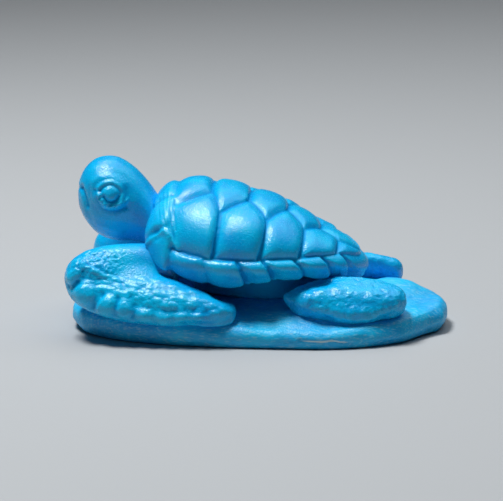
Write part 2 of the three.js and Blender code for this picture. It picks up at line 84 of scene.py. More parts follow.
studio = {
    "floorSize": 6.0,  # m
    "floorColour": "#ACB0B3",
    "floorRoughness": 0.9,
    "skyColour": "#B8CCEC",
    "skyStrength": 0.03,
    # where each softbox stands seen from the carving, how far off in m, its side in m and its power in W
    "softboxes": {
        "key_softbox": ((-0.28, -0.02, 0.96), 0.42, 0.11, 1.85),
        "top_softbox": ((0.15, 0.3, 0.94), 0.7, 0.8, 2.6),
    },
}


def linearColour(hexCode):
    channels = [int(hexCode[i:i + 2], 16) / 255 for i in (1, 3, 5)]
    linear = [c / 12.92 if c <= 0.04045 else ((c + 0.055) / 1.055) ** 2.4 for c in channels]
    return (*linear, 1.0)


def addNode(tree, kind, settings=None, values=None, links=None):
    node = tree.nodes.new(kind)
    for name, value in (settings or {}).items():
        setattr(node, name, value)
    for socket, value in (values or {}).items():
        node.inputs[socket].default_value = value
    for socket, source in (links or {}).items():
        tree.links.new(source, node.inputs[socket])
    return node


def pickOnly(piece):
    bpy.ops.object.select_all(action="DESELECT")
    piece.select_set(True)
    bpy.context.view_layer.objects.active = piece


def cameraAxes():  # to the right, up and back towards the camera
    turn = math.radians(view["azimuth"])
    lift = math.radians(view["elevation"])
    back = Vector((
        math.sin(turn) * math.cos(lift),
        -math.cos(turn) * math.cos(lift),
        math.sin(lift),
    ))
    right = Vector((math.cos(turn), math.sin(turn), 0))
    return right, back.cross(right), back


def placeCamera():
    back = cameraAxes()[2]
    bpy.ops.object.camera_add(location=(Vector(view["lookAt"]) + back * view["distance"]) * mm)
    camera = bpy.context.active_object
    camera.rotation_euler = (-back).to_track_quat("-Z", "Y").to_euler()
    camera.data.sensor_width = view["sensorWidth"]
    camera.data.lens = view["sensorWidth"] * view["focalPixels"] / view["photoWidth"]
    camera.data.clip_start = view["clipStart"] * mm
    bpy.context.scene.camera = camera


def addSoftbox(name, towards, distance, size, power):
    middle = Vector(view["lookAt"]) * mm
    aim = Vector(towards).normalized()
    bpy.ops.object.light_add(type="AREA", location=middle + aim * distance)
    lamp = bpy.context.active_object
    lamp.name = name
    lamp.rotation_euler = (-aim).to_track_quat("-Z", "Y").to_euler()
    lamp.data.size = size
    lamp.data.energy = power


def paintedFloor():  # pale and without gloss, so it takes a soft shadow
    material = bpy.data.materials.new("matt_painted_board")
    material.use_nodes = True
    shader = material.node_tree.nodes["Principled BSDF"]
    shader.inputs["Base Color"].default_value = linearColour(studio["floorColour"])
    shader.inputs["Roughness"].default_value = studio["floorRoughness"]
    return material


def setStudio():
    placeCamera()
    for name, settings in studio["softboxes"].items():
        addSoftbox(name, *settings)
    bpy.ops.mesh.primitive_plane_add(size=studio["floorSize"])
    floor = bpy.context.active_object
    floor.name = "floor"
    floor.data.materials.append(paintedFloor())
    scene = bpy.context.scene
    scene.world = bpy.data.worlds.new("studio_sky")
    scene.world.use_nodes = True
    sky = scene.world.node_tree.nodes["Background"]
    sky.inputs["Color"].default_value = linearColour(studio["skyColour"])
    sky.inputs["Strength"].default_value = studio["skyStrength"]
    scene.view_settings.view_transform = "Standard"


setStudio()
print("camera, floor and light set")

# Stone

stone = {
    "blue": "#02C4F8",
    "deepBlue": "#00A8EC",
    "paleBlue": "#10C8F8",
    # painted shade: deeper blue laid into grooves and hollows
    "paintedShadeBlue": "#0078C0",
    # paler on rubbed convex edges, and partly a painted highlight along the ledges
    "rubbedEdgeAndHighlightBlue": "#20D0FA",
    "frostBlue": "#A0E0F6",
    "bareStone": "#D2F2FA",  # under the dye, where the rock is chipped
    "mottle": 4.5,  # mm across a cloud of colour
    "grain": 0.24,  # mm across a grain; the stone's own is finer and wouldn't show
    "stroke": (1.0, 0.26),  # mm along and across a polishing scratch, drawn coarser than the real ones
    "strokeTurn": (0.0, 0.35, 0.25),  # radians
    # steps of finer noise in each of them, and how strong a step is beside the one before
    "mottleDetail": (4.0, 0.6),
    "grainDetail": (2.0, 0.6),
    "strokeDetail": (3.0, 0.55),
    "clouds": (0.35, 0.65),  # mottle that is deep blue and mottle that is blue
    # where each colour begins to cover the ones below it and where it covers them most, and its share there
    "layers": {
        "paleBlue": (0.6, 0.8, 0.25),
        "paintedShadeBlue": (0.01, 0.09, 0.65),  # mm of hollow, painted shade in grooves and hollows
        # rubbed edges, partly a painted highlight
        "rubbedEdgeAndHighlightBlue": (-0.012, -0.08, 0.3),
        "bareStone": (0.35, 0.65, 1.0),
    },
    "frosting": (0.5, 0.75),  # the same for the frost, whose share is the finish's
    "glossGrain": (0.3, 0.7),  # grain with the best gloss and with the dullest
    "grainDepth": 0.075,  # mm
    "strokeDepth": 0.012,
    "grooves": (0.01, 0.07),  # mm of hollow where the shine begins to go and where it is gone
    "shine": (0.5, 0.08),  # on the open surface, and in the grooves that no wheel reaches
    "ior": 1.48,
}

# How far each finish went: roughness of the best and the dullest grain, and how much frost the strokes leave
finishes = {
    "polished": {"gloss": (0.16, 0.3), "frost": 0.03},
    "satin": {"gloss": (0.34, 0.52), "frost": 0.55},
    "unpolished": {"gloss": (0.6, 0.8), "frost": 0.0},
}


def addNoise(tree, place, scale, detail):
    steps, strength = detail
    noise = addNode(
        tree, "ShaderNodeTexNoise",
        values={"Scale": scale, "Detail": steps, "Roughness": strength},
        links={"Vector": place},
    )
    return noise.outputs["Fac"]


def addRange(tree, source, span, target=(0.0, 1.0)):
    spread = addNode(
        tree, "ShaderNodeMapRange",
        values={"From Min": span[0], "From Max": span[1], "To Min": target[0], "To Max": target[1]},
        links={"Value": source},
    )
    return spread.outputs["Result"]


def addBump(tree, depth, links):
    bump = addNode(tree, "ShaderNodeBump", values={"Strength": 1.0, "Distance": depth * mm}, links=links)
    return bump.outputs["Normal"]


# Dyed carving stone: clouded colour, deepened by painted shade in grooves and hollows, and paler where edges
# are rubbed, which is partly a painted highlight. Polished, it has a waxy gloss that fine grain breaks into
# specks.
# Satin, it keeps the strokes of the grit as frost. Unpolished, under the shell where no wheel reaches, it is
# dull.
def carvedStone(finish):
    material = bpy.data.materials.new("dyed_carving_stone_" + finish)
    material.use_nodes = True
    tree = material.node_tree
    shader = tree.nodes["Principled BSDF"]
    place = addNode(tree, "ShaderNodeTexCoord").outputs["Object"]
    hollow = addNode(tree, "ShaderNodeAttribute", {"attribute_name": "hollow"}).outputs["Fac"]
    chip = addNode(tree, "ShaderNodeAttribute", {"attribute_name": "chip"}).outputs["Fac"]
    mottle = addNoise(tree, place, 1 / (stone["mottle"] * mm), stone["mottleDetail"])
    grain = addNoise(tree, place, 1 / (stone["grain"] * mm), stone["grainDetail"])
    along, across = [1 / (length * mm) for length in stone["stroke"]]
    stretch = addNode(
        tree, "ShaderNodeMapping",
        values={"Rotation": stone["strokeTurn"], "Scale": (along, across, across)},
        links={"Vector": place},
    )
    strokes = addNoise(tree, stretch.outputs["Vector"], 1.0, stone["strokeDetail"])  # sized by the stretch

    colour = addNode(
        tree, "ShaderNodeMix", {"data_type": "RGBA"},
        {6: linearColour(stone["deepBlue"]), 7: linearColour(stone["blue"])},
        {0: addRange(tree, mottle, stone["clouds"])},
    )
    layers = {**stone["layers"], "frostBlue": (*stone["frosting"], finishes[finish]["frost"])}
    sources = {
        "paleBlue": grain,
        "frostBlue": strokes,
        # painted shade in hollows, and rubbed edges that are partly a painted highlight
        "paintedShadeBlue": hollow,
        "rubbedEdgeAndHighlightBlue": hollow,
        "bareStone": chip,
    }
    for name, source in sources.items():
        start, end, most = layers[name]
        share = addRange(tree, source, (start, end), (0.0, most))
        colour = addNode(
            tree, "ShaderNodeMix", {"data_type": "RGBA"},
            {7: linearColour(stone[name])},
            {0: share, 6: colour.outputs[2]},
        )

    gloss = addRange(tree, grain, stone["glossGrain"], finishes[finish]["gloss"])
    shine = addRange(tree, hollow, stone["grooves"], stone["shine"])
    strokeBump = addBump(tree, stone["strokeDepth"], {"Height": strokes})
    grainBump = addBump(tree, stone["grainDepth"], {"Height": grain, "Normal": strokeBump})
    tree.links.new(colour.outputs[2], shader.inputs["Base Color"])
    tree.links.new(gloss, shader.inputs["Roughness"])
    tree.links.new(shine, shader.inputs["Specular IOR Level"])
    tree.links.new(grainBump, shader.inputs["Normal"])
    shader.inputs["IOR"].default_value = stone["ior"]
    return material


polished = carvedStone("polished")
satin = carvedStone("satin")
unpolished = carvedStone("unpolished")
print("stone mixed")

# Carver's helpers

roughing = {
    "weld": 0.002,  # mm, corners closer than this are one corner
    "quadAngle": 40.0,  # degrees, how bent a pair of triangles may be to make one four-sided face
    "lumpFaces": (24, 16),  # round and down a lump of clay
    "rubbing": 0.5,  # how far one pass moves a corner to the middle of its neighbours
    "rubFall": 4,  # power with which the rubbing falls off at its reach
    "leastWeight": 0.01,  # a corner with less than this is left out
    "hollowReach": 0.45,  # mm round a place that count as its surroundings
}


def copySolid(node):
    pickOnly(frame["nodes"][node])
    bpy.ops.object.duplicate()
    piece = bpy.context.active_object
    piece.name = "stone_" + node
    piece.parent = None
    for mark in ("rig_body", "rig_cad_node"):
        del piece[mark]
    bend = math.radians(roughing["quadAngle"])
    bpy.ops.object.mode_set(mode="EDIT")
    bpy.ops.mesh.select_all(action="SELECT")
    bpy.ops.mesh.customdata_custom_splitnormals_clear()
    bpy.ops.mesh.remove_doubles(threshold=roughing["weld"] * mm)
    bpy.ops.mesh.tris_convert_to_quads(face_threshold=bend, shape_threshold=bend)
    bpy.ops.object.mode_set(mode="OBJECT")
    return piece


def applyModifier(piece, kind, **settings):
    pickOnly(piece)
    modifier = piece.modifiers.new(kind.lower(), kind)
    for name, value in settings.items():
        setattr(modifier, name, value)
    bpy.ops.object.modifier_apply(modifier=modifier.name)


def subdivide(piece, levels):
    applyModifier(piece, "SUBSURF", levels=levels, render_levels=levels)


def smooth(piece, passes, group=""):
    applyModifier(piece, "SMOOTH", factor=roughing["rubbing"], iterations=passes, vertex_group=group)


def swell(piece, height):  # mm outwards, all over
    applyModifier(piece, "DISPLACE", strength=height * mm, mid_level=0.0)


def recut(piece, voxel, smoothing):  # one even skin over everything that the piece holds
    applyModifier(piece, "REMESH", mode="VOXEL", voxel_size=voxel * mm)
    smooth(piece, smoothing)


# Adds clay to the piece: an egg with its middle and half-sizes in mm.
def addLump(piece, middle, halfSizes):
    segments, rings = roughing["lumpFaces"]
    pickOnly(piece)
    bpy.ops.object.mode_set(mode="EDIT")
    bpy.ops.mesh.select_all(action="DESELECT")
    bpy.ops.mesh.primitive_uv_sphere_add(
        segments=segments,
        ring_count=rings,
        radius=mm,
        location=Vector(middle) * mm,
        scale=halfSizes,
    )
    bpy.ops.object.mode_set(mode="OBJECT")


def mirrorPiece(piece, node):
    pickOnly(piece)
    bpy.ops.object.duplicate()
    twin = bpy.context.active_object
    twin.name = "stone_" + node
    bpy.ops.object.mode_set(mode="EDIT")
    bpy.ops.mesh.select_all(action="SELECT")
    bpy.ops.transform.resize(value=(1, -1, 1), center_override=(0, 0, 0))
    bpy.ops.mesh.normals_make_consistent(inside=False)
    bpy.ops.object.mode_set(mode="OBJECT")
    return twin


def settle(piece, node, finish):
    if "hollow" not in piece.data.attributes:
        markHollows(piece)
    piece.data.materials.clear()
    piece.data.materials.append(finish)
    pickOnly(piece)
    bpy.ops.object.shade_smooth()
    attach(piece, "root")
    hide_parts(node)


def settlePair(leftPiece, name, finish):
    rightPiece = mirrorPiece(leftPiece, "right_" + name)
    settle(leftPiece, "left_" + name, finish)
    settle(rightPiece, "right_" + name, finish)
    return rightPiece


def readSkin(piece):
    count = len(piece.data.vertices)
    points = np.empty(count * 3)
    normals = np.empty(count * 3)
    piece.data.vertices.foreach_get("co", points)
    piece.data.vertex_normals.foreach_get("vector", normals)
    return points.reshape(-1, 3), normals.reshape(-1, 3)


def writeSkin(piece, points):
    piece.data.vertices.foreach_set("co", points.ravel())
    piece.data.update()


# Presses dabs into the skin: each is a place in mm, a radius in mm and a height in mm.
# They are round, or longer by the given factor in the direction of the grain.
def pressDabs(piece, dabs, softness=2.0, grain=(1, 0, 0), longer=1.0):
    points, normals = readSkin(piece)
    lift = np.zeros(len(points))
    grain = np.array(Vector(grain).normalized())
    for place, radius, height in dabs:
        offset = (points - np.array(place) * mm) / (radius * mm)
        near = np.flatnonzero(np.abs(offset).max(axis=1) < longer)
        offset = offset[near]
        share = (offset ** 2).sum(axis=1) - (1 - longer ** -2) * (offset @ grain) ** 2
        dab = height * mm * np.clip(1 - share, 0, None) ** softness
        lift[near] = np.where(np.abs(dab) > np.abs(lift[near]), dab, lift[near])
    writeSkin(piece, points + normals * lift[:, None])


def distanceToPath(points, path):
    nearest = np.full(len(points), np.inf)
    path = [np.array(place) * mm for place in path]
    for start, end in zip(path[:-1], path[1:]):
        run = end - start
        length = max(run @ run, 1e-12)  # squared, and over zero for a path that is one place
        share = np.clip((points - start) @ run / length, 0, 1)
        nearest = np.minimum(nearest, np.linalg.norm(points - start - share[:, None] * run, axis=1))
    return nearest


# Draws a line of one width along a path in mm: height over zero is a ridge, under zero a groove.
def drawLine(piece, path, radius, height):
    points, normals = readSkin(piece)
    lift = height * mm * np.exp(-(distanceToPath(points, path) / (radius * mm)) ** 2)
    writeSkin(piece, points + normals * lift[:, None])


def otherSide(places):
    return [Vector((place.x, -place.y, place.z)) for place in places]


def drawOnBothSides(piece, path, radius, height):
    drawLine(piece, path, radius, height)
    drawLine(piece, otherSide(path), radius, height)


def pressOnBothSides(piece, place, radius, height):
    pressDabs(piece, [(place, radius, height), (*otherSide([place]), radius, height)])


def atPixel(piece, across, down):  # where the piece shows at that pixel of the photograph, in mm
    right, up, back = cameraAxes()
    sight = (
        right * (across - view["photoWidth"] / 2)
        + up * (view["photoHeight"] / 2 - down)
        - back * view["focalPixels"]
    )
    eye = Vector(view["lookAt"]) + back * view["distance"]
    hit, place, normal, face = piece.ray_cast(eye * mm, sight.normalized())
    return Vector(place) / mm if hit else None


# Weights of the skin for a modifier, from a strength between 0 and 1 for each corner.
def weighSkin(piece, name, strengths):
    group = piece.vertex_groups.new(name=name)
    for number in np.flatnonzero(strengths > roughing["leastWeight"]):
        group.add([int(number)], float(strengths[number]), "REPLACE")
    return group.name


# Rubs part of the skin smooth, fully at the given places in mm and no more beyond the reach in mm.
def rubDown(piece, places, reach, passes):
    path = places if len(places) > 1 else [places[0], places[0]]
    nearest = distanceToPath(readSkin(piece)[0], path)
    strengths = np.exp(-(nearest / (reach * mm)) ** roughing["rubFall"])
    smooth(piece, passes, weighSkin(piece, "rubbed", strengths))
    piece.vertex_groups.clear()


def roughen(piece, name, across, high, group=""):  # lumps of that size in mm
    clouds = bpy.data.textures.new(name, "CLOUDS")
    clouds.noise_scale = across * mm
    applyModifier(
        piece, "DISPLACE",
        texture=clouds,
        texture_coords="LOCAL",
        strength=high * mm,
        mid_level=0.5,
        vertex_group=group,
    )


def alongPixels(piece, outline):
    places = [atPixel(piece, *pixel) for pixel in outline]
    return [place for place in places if place]


def writeField(piece, name, values):  # a value at each corner, for the stone to read
    piece.data.attributes.new(name, "FLOAT", "POINT").data.foreach_set("value", values)


# Marks how far each place lies below its surroundings, in mm, for painted shade in the hollows and paler
# rubbed edges.
# Over zero is a hollow.
def markHollows(piece):
    points, normals = readSkin(piece)
    ends = np.empty(len(piece.data.edges) * 2, dtype=np.int32)
    piece.data.edges.foreach_get("vertices", ends)
    first, second = ends.reshape(-1, 2).T
    length = np.linalg.norm(points[first] - points[second], axis=1).mean() / mm
    count = len(points)
    neighbours = np.bincount(ends, minlength=count)
    level = points.copy()
    for _ in range(int((roughing["hollowReach"] / length) ** 2) + 1):
        for axis in range(3):
            along = level[:, axis].copy()
            total = np.bincount(first, along[second], count) + np.bincount(second, along[first], count)
            level[:, axis] = total / neighbours
    hollow = ((level - points) * normals).sum(axis=1) / mm
    writeField(piece, "hollow", hollow)


# Shell: one skin over all the scutes turns their gaps into soft carved grooves, and is then parted along them

shellWork = {
    "edgeRound": 0.3,  # mm
    "edgeAngle": 50.0,  # degrees, where a face turns more than this there is an edge to round
    "edgeSegments": 2,
    "scuteRounding": 2,  # levels
    "closing": 0.3,  # mm that each scute grows, so that neighbours meet over the groove
    "coreRise": 0.9,  # mm that the block under them grows, so that the skin has nothing hollow below it
    "voxel": 0.13,
    "softening": 16,  # passes
    "seamReach": 0.55,  # mm, skin further than this from every scute is the block's
    "neighbourReach": 3,  # times that reach, and a scute further off is no neighbour
    "behindBy": 0.5,  # mm that a scute's middle is behind its neighbour's, or else they lie side by side
    # a seam's line in mm, half-width and depth, and the wide hollow on both sides that rounds the scutes
    "seams": {
        "dome": ((0.28, 0.11), (0.9, 0.14)),
        "domeEdge": ((0.28, 0.12), (0.8, 0.1)),
        "rim": ((0.3, 0.05), (0.6, 0.05)),
        "frontRim": ((0.3, 0.02), (0.6, 0.08)),
        "collar": ((0.3, 0.08), (0.5, 0.05)),
        "collarSide": ((0.3, 0.02), (0.5, 0.02)),
        "collarEdge": ((0.3, 0.0), (0.5, 0.03)),
    },
    # how much of the solids' own step is rubbed away along a seam before it is cut, and how far off in mm
    "rubbing": {
        "dome": (0.12, 0.9),
        "domeEdge": (0.12, 0.9),
        "rim": (0.12, 0.9),
        "frontRim": (0.8, 1.4),
        "collar": (0.3, 1.0),
        "collarSide": (1.0, 1.6),
        "collarEdge": (1.0, 2.2),
    },
    "rubPasses": 150,
    # mm along the shell, and how deep a seam's line and its hollow are cut there
    "rearEase": ((3.0, 11.0), (1.0, 0.8), (1.0, 0.1)),
    "blend": 10,  # passes over the cut seam
    # mm, how far behind a seam the next scute's front is sunk, and how deep
    "shingles": {
        "dome": (1.0, 0.14),
        "rim": (1.4, 0.34),
        "frontRim": (1.4, 0.1),
        "collar": (1.0, 0.1),
    },
    # pixels of the photograph where a costal scute is fuller, with a radius and a height in mm
    "fullness": [(252, 224, 4.0, 0.4)],
    # pixels of corners where seams meet the collar, and the mm and passes that rub them out
    "blunted": [(174, 203)],
    "blunting": (1.1, 160),
    "rimRoll": (0.3, 1.9),  # mm, how far the rim swells at its top and draws in at its lower edge
    "rollShape": (1.5, 1.5),  # how soon down the rim the swell ends, and how late the drawing in begins
    # mm along the shell, and how much of the drawing in there is
    "rollEase": ((4.0, 11.0, 15.0), (1.0, 0.25, 0.5)),
    # the rear is lower than the solids: mm along the shell, and mm that the dome's top and the tail sink
    "domeSink": ((4.0, 9.5), (0.0, 0.85)),
    "domeFoot": (11.8, 15.3),  # mm, height where the dome begins to sink and where it sinks fully
    "tailSink": ((10.5, 12.5, 15.5), (0.0, 0.35, 1.4)),
    "shellMiddle": (-3.5, 17.7, 12.2),  # mm, x of the shell's widest place and its reach behind and aside
    # rough strokes down the collar, as pixels of the photograph, and their half-width and depth in mm
    "scratches": [
        [(159, 199), (159, 214), (161, 227)],
        [(163, 192), (162, 206), (164, 221), (168, 236)],
        [(167, 190), (166, 206), (168, 222), (171, 239)],
        [(171, 193), (170, 209), (172, 227), (175, 242)],
        [(175, 200), (174, 214), (176, 230)],
    ],
    "scratch": (0.18, -0.08),
    # the diamond facet below the collar: pixels of its ridge with a half-width and a height in mm,
    # and the pixel of the hollow in front of it with a radius and a height
    "facetRidge": ([(147, 244), (156, 237), (165, 231), (171, 238), (178, 248)], 0.45, 0.3),
    "facetHollow": (156, 233.5, 1.5, -0.4),
    "scuteThickness": 0.8,
    "rimThickness": 0.3,  # wall of the marginal scutes, whose skin turns round their lower edge
}

middleScutes = ["nuchal_scute", *(f"vertebral_scute_{i}" for i in range(1, 6))]
domeScutes = [f"costal_scute_{i}" for i in range(1, 6)]
rimScutes = [f"marginal_scute_{i}" for i in range(1, 10)]
sideScutes = [f"{side}_{name}" for name in domeScutes + rimScutes for side in ("left", "right")]
scuteNodes = middleScutes + sideScutes


def isRim(node):
    return "marginal" in node or "nuchal" in node


def isCollar(node):
    return "nuchal" in node or node.endswith(("marginal_scute_1", "marginal_scute_2"))


def seamKind(node, neighbour):
    if not isRim(node) and not isRim(neighbour):
        return "dome"
    if isCollar(node) and isCollar(neighbour):
        return "collar" if "nuchal" in node + neighbour else "collarSide"
    if isRim(node) and isRim(neighbour):
        front = ("marginal_scute_2", "marginal_scute_3")
        return "frontRim" if node.endswith(front) or neighbour.endswith(front) else "rim"
    return "collarEdge" if isCollar(node) or isCollar(neighbour) else "domeEdge"


def coverShell():
    skin = copySolid("shell_core")
    skin.name = "shell_skin"
    swell(skin, shellWork["coreRise"])
    scutes = [copySolid(node) for node in scuteNodes]
    solids = []
    for scute in scutes:
        corners = [corner.co.copy() for corner in scute.data.vertices]
        faces = [face.vertices for face in scute.data.polygons]
        solids.append((BVHTree.FromPolygons(corners, faces), corners))
        applyModifier(
            scute, "BEVEL",
            width=shellWork["edgeRound"] * mm,
            segments=shellWork["edgeSegments"],
            limit_method="ANGLE",
            angle_limit=math.radians(shellWork["edgeAngle"]),
        )
        subdivide(scute, shellWork["scuteRounding"])
        swell(scute, shellWork["closing"])
    pickOnly(skin)
    for scute in scutes:
        scute.select_set(True)
    bpy.ops.object.join()
    recut(skin, shellWork["voxel"], shellWork["softening"])
    return skin, solids


# For each point the nearest scute, the next nearest, and how much further off that one is.
def nearestScutes(points, solids):
    reach = shellWork["neighbourReach"] * shellWork["seamReach"] * mm
    nearest, second = np.full((2, len(points)), 1.0)  # m, further off than any scute
    owner, neighbour = np.full((2, len(points)), len(solids))
    for number, (tree, corners) in enumerate(solids):
        low, high = np.min(corners, axis=0) - reach, np.max(corners, axis=0) + reach
        close = np.flatnonzero(((points > low) & (points < high)).all(axis=1))
        found = np.array([tree.find_nearest(place)[3] for place in points[close]])
        wins = found < nearest[close]
        nexts = ~wins & (found < second[close])
        second[close] = np.where(wins, nearest[close], np.where(nexts, found, second[close]))
        neighbour[close] = np.where(wins, owner[close], np.where(nexts, number, neighbour[close]))
        nearest[close] = np.where(wins, found, nearest[close])
        owner[close] = np.where(wins, number, owner[close])
    owner[nearest > shellWork["seamReach"] * mm] = len(solids)
    return owner, neighbour, second - nearest


# Rubs the solids' own steps soft along each seam, sinks the front of each scute behind the one ahead of it,
# and cuts the seam's line with a wide hollow round it.
def cutSeams(skin, owner, neighbour, lead):
    nodes = [*scuteNodes, "shell_core"]
    middles = np.array([sum(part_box(node), Vector())[0] / 2 for node in nodes])
    behind = middles[owner] > middles[neighbour] + shellWork["behindBy"] * mm
    table = [[seamKind(a, b) for b in nodes] for a in nodes]
    kinds = np.array(table)[owner, neighbour]
    rubbed = np.zeros(len(lead))
    sunk = np.zeros(len(lead))
    along = readSkin(skin)[0][:, 0] / mm
    places, *eases = shellWork["rearEase"]
    for kind, cuts in shellWork["seams"].items():
        mine = kinds == kind
        strength, reach = shellWork["rubbing"][kind]
        rubbed[mine] = strength * np.exp(-(lead[mine] / (reach * mm)) ** 2)
        for (width, depth), ease in zip(cuts, eases):
            cut = depth * np.exp(-(lead[mine] / (width * mm)) ** 2)
            sunk[mine] += cut * np.interp(along[mine], places, ease)
    for kind, (reach, depth) in shellWork["shingles"].items():
        mine = (kinds == kind) & behind
        sunk[mine] += depth * np.exp(-(lead[mine] / (reach * mm)) ** 2)
    smooth(skin, shellWork["rubPasses"], weighSkin(skin, "rubbed", rubbed))
    skin.vertex_groups.clear()
    points, normals = readSkin(skin)
    writeSkin(skin, points - normals * (sunk * mm)[:, None])
    smooth(skin, shellWork["blend"])


def fillScutes(skin):
    for across, down, radius, height in shellWork["fullness"]:
        pressOnBothSides(skin, atPixel(skin, across, down), radius, height)


def bluntCorners(skin):
    for pixel in shellWork["blunted"]:
        place = atPixel(skin, *pixel)
        for corner in (place, *otherSide([place])):
            rubDown(skin, [corner], *shellWork["blunting"])


def scratchCollar(skin):
    width, depth = shellWork["scratch"]
    for outline in shellWork["scratches"]:
        drawOnBothSides(skin, alongPixels(skin, outline), width, depth)


def cutFacet(skin):
    across, down, radius, depth = shellWork["facetHollow"]
    pressOnBothSides(skin, atPixel(skin, across, down), radius, depth)
    outline, width, height = shellWork["facetRidge"]
    drawOnBothSides(skin, alongPixels(skin, outline), width, height)


# Rolls the marginal scutes of the sides: full under the seam, drawn in at the lower edge.
def rollRim(skin, owner):
    middleX, reachX, reachY = shellWork["shellMiddle"]
    fullness, setback = shellWork["rimRoll"]
    soon, late = shellWork["rollShape"]
    points = readSkin(skin)[0]
    outward = np.stack([
        np.clip(points[:, 0] - middleX * mm, 0, None) / reachX ** 2,
        points[:, 1] / reachY ** 2,
        np.zeros(len(points)),
    ], axis=1)
    outward /= np.linalg.norm(outward, axis=1, keepdims=True)
    for number, node in enumerate(scuteNodes):
        if isRim(node) and not isCollar(node):
            low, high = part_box(node)
            mine = np.flatnonzero(owner == number)
            down = np.clip((high.z - points[mine, 2]) / (high.z - low.z), 0, 1)
            ease = np.interp(points[mine, 0] / mm, *shellWork["rollEase"])
            out = fullness * np.sin(np.pi * np.clip(down * soon, 0, 1))
            move = out - ease * setback * down ** late
            points[mine] += outward[mine] * (move * mm)[:, None]
    writeSkin(skin, points)


def sinkRear(piece):
    points = readSkin(piece)[0]
    along = points[:, 0] / mm
    foot, full = shellWork["domeFoot"]
    up = np.clip((points[:, 2] / mm - foot) / (full - foot), 0, 1)
    sink = up * np.interp(along, *shellWork["domeSink"]) + np.interp(along, *shellWork["tailSink"])
    points[:, 2] -= sink * mm
    writeSkin(piece, points)


def partSkin(skin, owner):
    normals = readSkin(skin)[1]
    carved = skin.data.attributes.new("carvedNormal", "FLOAT_VECTOR", "POINT")
    carved.data.foreach_set("vector", normals.ravel())
    # the skin's faces have four corners, and each goes to the owner that is second in order among them
    corners = np.empty(len(skin.data.polygons) * 4, dtype=np.int32)
    skin.data.polygons.foreach_get("vertices", corners)
    faceOwner = np.sort(owner[corners.reshape(-1, 4)], axis=1)[:, 1]
    skin.data.materials.clear()
    for node in (*scuteNodes, "shell_core"):
        skin.data.materials.append(bpy.data.materials.new(node))
    skin.data.polygons.foreach_set("material_index", faceOwner)
    pickOnly(skin)
    bpy.ops.object.mode_set(mode="EDIT")
    bpy.ops.mesh.select_all(action="SELECT")
    bpy.ops.mesh.separate(type="MATERIAL")
    bpy.ops.object.mode_set(mode="OBJECT")
    return {piece.data.materials[0].name: piece for piece in bpy.context.selected_objects}


def thickenScute(scute, node):
    normals = np.empty(len(scute.data.vertices) * 3)
    scute.data.attributes["carvedNormal"].data.foreach_get("vector", normals)
    thickness = shellWork["rimThickness" if isRim(node) else "scuteThickness"]
    applyModifier(scute, "SOLIDIFY", thickness=thickness * mm, offset=-1.0)
    scute.name = "stone_" + node
    settle(scute, node, polished)
    # the outer side keeps the whole skin's normals, so no edge shows along the seams
    kept = np.zeros((len(scute.data.vertices), 3))
    kept[:len(normals) // 3] = normals.reshape(-1, 3)
    scute.data.normals_split_custom_set_from_vertices(kept)


def carveShell():
    skin, solids = coverShell()
    owner, neighbour, lead = nearestScutes(readSkin(skin)[0], solids)
    rollRim(skin, owner)
    sinkRear(skin)
    fillScutes(skin)
    cutSeams(skin, owner, neighbour, lead)
    bluntCorners(skin)
    cutFacet(skin)
    scratchCollar(skin)
    markHollows(skin)
    parts = partSkin(skin, owner)
    for node in scuteNodes:
        thickenScute(parts[node], node)
    bpy.data.objects.remove(parts["shell_core"])  # the skin's underside, which the block itself stands for


carveShell()
print("shell carved")

# Underside of the shell: the block below the scutes, and the belly in its shade, both painted deep blue as
# shade

underside = {
    "coreShrink": 0.6,  # mm, the block keeps this far below the scutes
    "bellyRounding": 2,  # levels
    "bellyWaist": (0.96, 0.74, 1.0),  # share of the solid's length, width and height that the belly keeps
    "paintedUndersideShade": 0.09,  # painted shade: all over, the stone there is coloured as deep as a hollow of this depth in mm
}


# Paints shade all over a piece that lies in the shade under the shell
def paintUndersideShade(piece):
    writeField(piece, "hollow", np.full(len(piece.data.vertices), underside["paintedUndersideShade"]))


def carveCore():
    core = copySolid("shell_core")
    swell(core, -underside["coreShrink"])
    sinkRear(core)
    paintUndersideShade(core)
    settle(core, "shell_core", unpolished)


def carveBelly():
    belly = copySolid("belly")
    subdivide(belly, underside["bellyRounding"])
    bpy.ops.object.mode_set(mode="EDIT")
    bpy.ops.mesh.select_all(action="SELECT")
    bpy.ops.transform.resize(value=underside["bellyWaist"], center_override=(0, 0, 0))
    bpy.ops.object.mode_set(mode="OBJECT")
    paintUndersideShade(belly)
    settle(belly, "belly", unpolished)


carveCore()
carveBelly()
print("underside carved")

# Head

